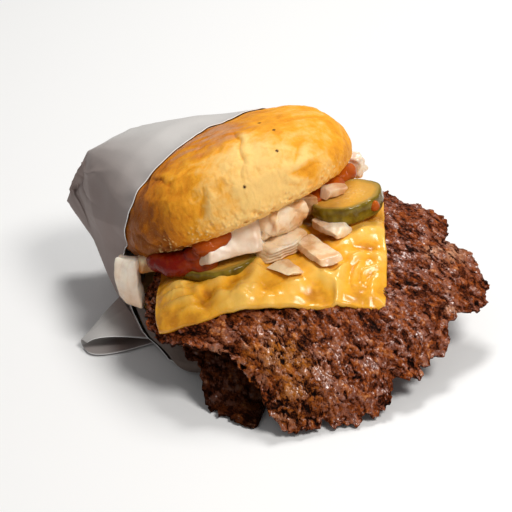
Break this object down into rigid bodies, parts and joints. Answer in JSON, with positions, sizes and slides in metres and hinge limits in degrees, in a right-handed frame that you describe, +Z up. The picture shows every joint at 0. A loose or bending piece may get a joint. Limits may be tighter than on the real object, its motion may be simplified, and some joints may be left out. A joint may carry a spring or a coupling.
{
  "type": "paper-wrapped cheeseburger",
  "caption": "Cheeseburger in an open greaseproof paper pocket: soft round bun, wide thin patties hanging out, melted cheese slice, pickle, onion and ketchup.",
  "frame": {"origin": "middle of the flat bottom of the paper, under the bottom bun", "axes": "+Z up, -Y towards the front where the patties hang out, +X to the right of the front, closed end of the paper pocket towards -X and +Y"},
  "size_m": [0.1659, 0.1585, 0.0854],
  "materials": {
    "paper": "plain off-white greaseproof paper with a dull sheen",
    "bun_crumb": "soft bread, dull",
    "bun_crust": "soft golden bun crust with a thin glaze",
    "patty": "dark brown crusted minced beef, greasy",
    "cheese": "melted orange-yellow processed cheese, glossy",
    "pickle": "wet olive-green pickled cucumber",
    "onion": "translucent white cut onion, wet",
    "ketchup": "thick red sauce, very glossy"
  },
  "bodies": {
    "root": {"wrap_paper": "paper", "bun_heel": "bun_crumb", "patty_lower": "patty", "patty_upper": "patty", "cheese_slice": "cheese", "pickle_right": "pickle", "pickle_left": "pickle", "onion_left_end": "onion", "onion_left_small": "onion", "onion_slab": "onion", "onion_round": "onion", "onion_front": "onion", "onion_right_back": "onion", "onion_right_front": "onion", "onion_under_bun": "onion", "onion_far_right": "onion", "onion_shard": "onion", "ketchup_left": "ketchup", "ketchup_right": "ketchup", "bun_crown": "bun_crust"}
  },
  "joints": []
}
